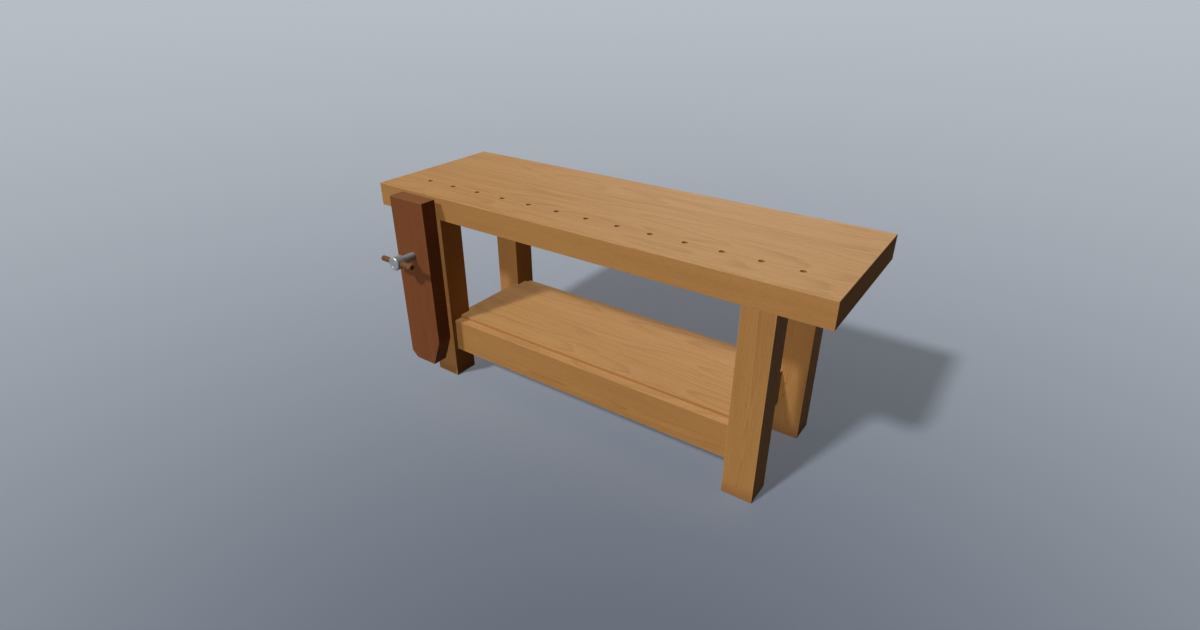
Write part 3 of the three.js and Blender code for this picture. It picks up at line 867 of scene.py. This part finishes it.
def makeGarter():
    direction = Vector((0, -1, 0))
    numbers = range(1, garter["screws"] + 1)
    places = {number: placeAlong("garter_screw_" + str(number), direction) for number in numbers}
    for half in ("lower", "upper"):
        low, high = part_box("garter_" + half)
        plate = addBlock("garter" + half.title(), low, high)
        drill(plate, (screwX, low.y, screwZ), (0, 1, 0), high.y - low.y, garter["bore"])
        softenEdges(plate, garter["edge"])
        for start, length in places.values():
            if low.z < start.z < high.z:
                drillForWoodScrew(plate, start, direction, length)
        steel = metalFinish("steelGarter" + half.title(), "steel", (screwX, 0, screwZ), "x")
        finishPiece(plate, "garter_" + half, steel)
    master = makeWoodScrew(places[1][1])
    for number, (start, length) in places.items():
        turn = number * garter["screwTurn"]
        fastener = copyPiece(master, "garterScrew" + str(number), start, direction, turn)
        steel = metalFinish("steelGarterScrew" + str(number), "steel", start, "y")
        finishPiece(fastener, "garter_screw_" + str(number), steel)
    bpy.data.objects.remove(master)


makeChop()
makeGarter()
print("chop and garter done")


# Screw with its hub

screw = {
    "radius": 0.018, "root": 0.0150, "spigot": 0.017, "groove": 0.013, "collar": 0.005, "relief": 0.004,
    "lead": 0.012, "starts": 2, "crest": 0.0020, "flank": 0.0008, "runIn": 1.37, "point": 0.005,
    "ease": 0.0004, "steps": 64}
hub = {
    "chamfer": 0.003, "edge": 0.0007, "bore": 0.0120, "lip": 0.0012, "spigotRim": 0.0008,
    "pin": 0.0025, "pinRim": 0.0006, "pinEase": 0.0006}


def pinProfile(radius, length, ease):
    return [
        (0, 0), (radius - ease, 0), (radius, ease),
        (radius, length - ease), (radius - ease, length), (0, length)]


def makeThread(fromY, toY):
    size = screw
    pitch = size["lead"] / size["starts"]
    valley = (pitch - size["crest"] - 2 * size["flank"]) / 2
    points = [(size["root"], 0)]
    for start in range(size["starts"]):
        foot = start * pitch + valley
        crest = foot + size["flank"]
        points += [
            (size["root"], foot), (size["radius"], crest), (size["radius"], crest + size["crest"]),
            (size["root"], crest + size["crest"] + size["flank"]), (size["root"], (start + 1) * pitch)]
    thread = drawProfile("thread", points)
    wind = thread.modifiers.new("wind", "SCREW")
    wind.screw_offset = size["lead"]
    wind.iterations = math.ceil((toY - fromY) / size["lead"]) + 2
    wind.steps = wind.render_steps = size["steps"]
    wind.use_merge_vertices = True
    wind.merge_threshold = weld
    applyModifier(thread, wind)
    closeSkin(thread)
    aim(thread, (screwX, fromY - size["runIn"] * size["lead"], screwZ), (0, 1, 0))
    sliceOff(thread, (screwX, fromY, screwZ), (0, -1, 0))
    sliceOff(thread, (screwX, toY, screwZ), (0, 1, 0))
    closeSkin(thread)
    return thread


def makeScrew():
    size = screw
    low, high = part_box("vise_screw")
    garterLow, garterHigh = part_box("garter_lower")
    grooveFrom, grooveTo = garterLow.y - run, garterHigh.y + run
    collarTo, core = grooveTo + size["collar"], size["root"] - seat
    shoulder = hubHigh.y + seat
    marks = [
        (0, low.y), (size["spigot"], low.y), (size["spigot"], shoulder), (size["radius"], shoulder),
        (size["radius"], grooveFrom), (size["groove"], grooveFrom), (size["groove"], grooveTo),
        (size["radius"], grooveTo), (size["radius"], collarTo), (core, collarTo),
        (core, high.y - past), (size["root"] - past, high.y), (0, high.y)]
    profile = [(radius, y - low.y) for radius, y in marks]
    piece = turnPiece("viseScrew", profile, (screwX, low.y, screwZ), (0, 1, 0), sides=size["steps"])
    softenEdges(piece, size["ease"])
    shape(piece, makeThread(collarTo + size["relief"], high.y - size["point"]), "UNION")
    drill(piece, (hubLow.x, handleY, screwZ), (1, 0, 0), hubHigh.x - hubLow.x, hub["bore"])
    finishPiece(piece, "vise_screw", metalFinish("steelScrew", "steel", (screwX, 0, screwZ), "y"))


def makeHub():
    length = hubHigh.y - hubLow.y
    radius = (hubHigh.x - hubLow.x) / 2
    profile = pinProfile(radius, length, hub["chamfer"])
    piece = turnPiece("screwHub", profile, (screwX, hubLow.y, screwZ), (0, 1, 0), sides=96)
    softenEdges(piece, hub["edge"], angle=25)
    drill(piece, (hubLow.x, handleY, screwZ), (1, 0, 0), 2 * radius, hub["bore"], hub["lip"], sides=64)
    spigotHole = screw["spigot"] + seat
    drill(piece, (screwX, hubLow.y, screwZ), (0, 1, 0), length, spigotHole, hub["spigotRim"], sides=64)
    pinLow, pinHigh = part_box("hub_pin")
    pinY = (pinLow.y + pinHigh.y) / 2
    drill(piece, (screwX, pinY, hubLow.z), (0, 0, 1), 2 * radius, hub["pin"] + seat, hub["pinRim"], sides=24)
    finishPiece(piece, "screw_hub", metalFinish("steelHub", "steel", (screwX, 0, screwZ), "y"))
    profile = pinProfile(hub["pin"], pinHigh.z - pinLow.z, hub["pinEase"])
    piece = turnPiece("hubPin", profile, (screwX, pinY, pinLow.z), (0, 0, 1), sides=24)
    finishPiece(piece, "hub_pin", metalFinish("steelHubPin", "steel", (screwX, pinY, 0), "z"))


makeScrew()
makeHub()
print("screw and hub done")


# Handle, a dowel with rounded ends and two stop pins

handle = {"round": 0.0028, "roundSteps": 5, "pin": 0.002, "pinRim": 0.0004, "pinEase": 0.0005, "seed": 1.1}


def makeHandle():
    low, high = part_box("vise_handle")
    radius, length, curve = (high.z - low.z) / 2, high.x - low.x, handle["round"]
    turns = [math.pi / 2 * i / handle["roundSteps"] for i in range(handle["roundSteps"] + 1)]
    nearEnd = [(radius - curve + curve * math.sin(t), curve - curve * math.cos(t)) for t in turns]
    farEnd = [(r, length - d) for r, d in reversed(nearEnd)]
    profile = [(0, 0)] + nearEnd + farEnd + [(0, length)]
    bar = turnPiece("viseHandle", profile, (low.x, handleY, screwZ), (1, 0, 0))
    for side in ("left", "right"):
        node = "handle_stop_pin_" + side
        pinLow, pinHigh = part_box(node)
        x = (pinLow.x + pinHigh.x) / 2
        start = (x, handleY - radius, screwZ)
        drill(bar, start, (0, 1, 0), 2 * radius, handle["pin"] + seat, handle["pinRim"], sides=24)
        profile = pinProfile(handle["pin"], pinHigh.y - pinLow.y, handle["pinEase"])
        name = "handleStopPin" + side.title()
        pin = turnPiece(name, profile, (x, pinLow.y, screwZ), (0, 1, 0), sides=24)
        finishPiece(pin, node, metalFinish("steelStopPin" + side.title(), "steel", (x, 0, screwZ), "y"))
    wood = woodFinish("handleWood", "handle", low, high, "x", handle["seed"])
    finishPiece(bar, "vise_handle", wood)


makeHandle()
print("handle done")


# Nut, a cast flange with a boss and screw pads, its barrel inside the leg

nut = {
    "corner": 0.012, "cornerSteps": 8, "plate": 0.009, "boss": 0.027, "pad": 0.010, "draft": 0.002,
    "bore": 0.0185, "boreRim": 0.001, "barrelEase": 0.001, "fillet": 0.0012}
coachScrews = {
    "count": 4, "turn": 0.7, "shank": 0.004, "head": 0.0075, "headHeight": 0.006, "edge": 0.0005,
    "washer": 0.0012, "washerIn": 0.0003, "crown": 0.0012}


def makeCoachScrew(length):  # a hexagon head on a washer face
    size = coachScrews
    height = size["headHeight"]
    deselectAll()
    middle = (0, 0, height / 2)
    bpy.ops.mesh.primitive_cylinder_add(vertices=6, radius=size["head"], depth=height, location=middle)
    head = bpy.context.object
    head.name = "coachScrewMaster"
    applyPlace()
    softenEdges(head, size["edge"])
    crown = [
        (0, 0), (size["head"] - size["crown"], 0), (size["head"] + past, size["crown"]),
        (size["head"] + past, height + past), (0, height + past)]
    shape(head, turnPiece("crownTool", crown, (0, 0, 0), (0, 0, 1), sides=48), "INTERSECT")
    washer, foot = size["head"] - size["washerIn"], height - size["washer"]
    shank = [
        (0, foot), (washer, foot), (washer, height), (size["shank"], height),
        (size["shank"], length - woodScrews["tip"]), (woodScrews["tipRadius"], length), (0, length)]
    shape(head, turnPiece("shankTool", shank, (0, 0, 0), (0, 0, 1), sides=32), "UNION")
    return head


def makeNut():
    low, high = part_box("vise_nut")
    flangeFrom = legBox["front_left"][1].y + seat
    plate = addBlock("viseNut", (low.x, flangeFrom, low.z), (high.x, flangeFrom + nut["plate"], high.z))
    bevelEdges(plate, lambda a, b: abs(a.y - b.y) > past, nut["corner"], nut["cornerSteps"])
    direction = Vector((0, -1, 0))
    nodes = ["nut_screw_" + str(number) for number in range(1, coachScrews["count"] + 1)]
    places = [placeAlong(node, direction) for node in nodes]
    pads = [((screwX, high.y, screwZ), nut["boss"])]
    pads += [((start.x, high.y, start.z), nut["pad"]) for start, length in places]
    depth = high.y - flangeFrom - past
    for start, radius in pads:
        profile = [(0, 0), (radius, 0), (radius + nut["draft"], depth), (0, depth)]
        shape(plate, turnPiece("bossTool", profile, start, direction, sides=48), "UNION")
    softenEdges(plate, nut["fillet"], steps=3, angle=50)
    barrel, ease, reach = vise["nutBarrel"], nut["barrelEase"], flangeFrom + past - low.y
    profile = [(0, 0), (barrel - ease, 0), (barrel, ease), (barrel, reach), (0, reach)]
    shape(plate, turnPiece("barrelTool", profile, (screwX, low.y, screwZ), (0, 1, 0)), "UNION")
    drill(plate, (screwX, low.y, screwZ), (0, 1, 0), high.y - low.y, nut["bore"], nut["boreRim"], sides=64)
    master = makeCoachScrew(places[0][1])
    for number, (start, length) in enumerate(places):
        hole = coachScrews["shank"] + seat
        drill(plate, (start.x, high.y, start.z), direction, high.y - flangeFrom, hole, sides=24)
        turn = number * coachScrews["turn"]
        fastener = copyPiece(master, "nutScrew" + str(number + 1), start, direction, turn)
        steel = metalFinish("steelNutScrew" + str(number + 1), "steel", start, "y")
        finishPiece(fastener, nodes[number], steel)
    bpy.data.objects.remove(master)
    finishPiece(plate, "vise_nut", metalFinish("castIron", "iron", (screwX, 0, screwZ), "y"))


makeNut()
print("nut done")


# Parallel guide with its pin

guide = {
    "edge": 0.0015, "hole": 0.0055, "rim": 0.0006, "pitch": 0.012, "holes": 19,
    "endInset": 0.021, "rowInset": 0.016, "seed": 4.4}
guidePin = {
    "radius": 0.005, "ease": 0.0015, "head": 0.011, "headLength": 0.020, "cap": 0.006, "waist": 0.0085,
    "slope": 0.002, "ring": 0.005, "ringEase": 0.001, "edge": 0.0005}


def makeGuide():
    bar = addBlock("parallelGuide", guideLow, guideHigh)
    softenEdges(bar, guide["edge"])
    rows = [guideLow.z + guide["rowInset"], guideHigh.z - guide["rowInset"]]
    for number in range(guide["holes"]):
        y = guideHigh.y - guide["endInset"] - number * guide["pitch"]
        start = (guideLow.x, y, rows[number % 2])
        drill(bar, start, (1, 0, 0), guideHigh.x - guideLow.x, guide["hole"], guide["rim"], sides=32)
    drillForPeg(bar, "guide_peg")
    wood = woodFinish("guideWood", "chop", guideLow, guideHigh, "y", guide["seed"])
    finishPiece(bar, "parallel_guide", wood)


def makeGuidePin():
    size = guidePin
    low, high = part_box("guide_pin")
    middle, length = (low + high) / 2, high.x - low.x
    head, waist, radius, ease = size["head"], size["waist"], size["radius"], size["ease"]
    neck, ring = size["headLength"], size["headLength"] - size["ring"]
    profile = [
        (0, 0), (head - ease, 0), (head, ease), (head, size["cap"]),
        (waist, size["cap"] + size["slope"]), (waist, ring - size["slope"]), (head, ring),
        (head, neck - size["ringEase"]), (head - size["ringEase"], neck), (radius, neck),
        (radius, length - ease), (radius - ease, length), (0, length)]
    pin = turnPiece("guidePin", profile, (low.x, middle.y, middle.z), (1, 0, 0), sides=48)
    softenEdges(pin, size["edge"], angle=30)
    finishPiece(pin, "guide_pin", metalFinish("steelGuidePin", "steel", middle, "x"))


makeGuide()
makeGuidePin()
print("guide done")


# Stage: pale floor, plain light and the camera

stage = {
    "floorSize": 160, "floorCentre": (1.0, -1.4), "floorCore": 2.4, "floorFade": 1.5,
    "floorNear": (0.155, 0.195, 0.280, 1), "floorFar": (0.614, 0.713, 0.875, 1),
    "floorBounce": (0.10, 0.075, 0.045, 1),
    "world": (0.466, 0.504, 0.552, 1), "worldFill": (0.046, 0.036, 0.020, 1), "lampDistance": 3}
lamps = {  # the key's second half and the fills cast no shadow
    "keyLight": {
        "travel": (0.27, 1.0, -0.97), "colour": (1.0, 0.94, 0.85),
        "strength": 1.75, "spread": 5, "shadow": True},
    "keyFill": {
        "travel": (0.27, 1.0, -0.97), "colour": (1.0, 0.94, 0.85),
        "strength": 0.90, "spread": 5, "shadow": False},
    "frontFill": {
        "travel": (0.45, 1.0, -0.27), "colour": (1.0, 0.95, 0.88),
        "strength": 0.66, "spread": 26, "shadow": False},
    "backLight": {
        "travel": (0.35, -1.0, -0.40), "colour": (1.0, 0.95, 0.88),
        "strength": 1.05, "spread": 32, "shadow": False}}
camera = {
    "place": (1.42241, -2.02370, 1.73038), "yaw": 34.948, "pitch": 27.971, "lens": 20.266, "sensor": 36.0}


def seenDirectly(start):  # 1 where a camera, mirror or glass ray looks
    rays = start.node("ShaderNodeLightPath", take=("Is Camera Ray", "Is Glossy Ray", "Is Transmission Ray"))
    return rays[0].most(rays[1]).most(rays[2])


def makeStage():
    deselectAll()
    bpy.ops.mesh.primitive_plane_add(size=stage["floorSize"])
    floor = bpy.context.object
    floor.name = "studioFloor"
    material, start = newMaterial("studioFloorPaint")
    bounce = start.node("ShaderNodeBsdfDiffuse", sockets={"Color": stage["floorBounce"]})
    place = start.node("ShaderNodeTexCoord", take="Object")
    x, y = splitPlace(start, place)[:2]
    x, y = x - stage["floorCentre"][0], y - stage["floorCentre"][1]
    core = stage["floorCore"]
    reach = (x * x + y * y + core * core) ** 0.5 - core
    fade = reach / (reach + stage["floorFade"])  # paler in the distance
    paint = fade.blend(stage["floorNear"], stage["floorFar"])
    lit = start.node("ShaderNodeBsdfDiffuse", sockets={"Color": paint})
    mixed = start.node("ShaderNodeMixShader", sockets={0: seenDirectly(start), 1: bounce, 2: lit})
    start.node("ShaderNodeOutputMaterial", sockets={"Surface": mixed}, take=())
    floor.data.materials.append(material)

    world = bpy.data.worlds.new("studioWorld")
    bpy.context.scene.world = world
    world.use_nodes = True
    world.node_tree.nodes.clear()
    start = Strand(world.node_tree)
    colour = seenDirectly(start).blend(stage["worldFill"], stage["world"])
    sky = start.node("ShaderNodeBackground", sockets={"Color": colour, "Strength": 1.0})
    start.node("ShaderNodeOutputWorld", sockets={"Surface": sky}, take=())


def makeLights():
    for name, lamp in lamps.items():
        deselectAll()
        travel = Vector(lamp["travel"])
        turn = travel.to_track_quat("-Z", "Y").to_euler()
        bpy.ops.object.light_add(type="SUN", location=-stage["lampDistance"] * travel, rotation=turn)
        light = bpy.context.object
        light.name = name
        light.data.color = lamp["colour"]
        light.data.energy = lamp["strength"]
        light.data.angle = math.radians(lamp["spread"])
        light.data.use_shadow = lamp["shadow"]


def makeCamera():
    turn = (math.radians(90 - camera["pitch"]), 0, math.radians(camera["yaw"]))
    bpy.ops.object.camera_add(location=camera["place"], rotation=turn)
    view = bpy.context.object
    view.name = "photoCamera"
    view.data.lens = camera["lens"]
    view.data.sensor_width = camera["sensor"]
    bpy.context.scene.camera = view
    bpy.context.scene.view_settings.view_transform = "Standard"


makeStage()
makeLights()
makeCamera()
print("stage done")
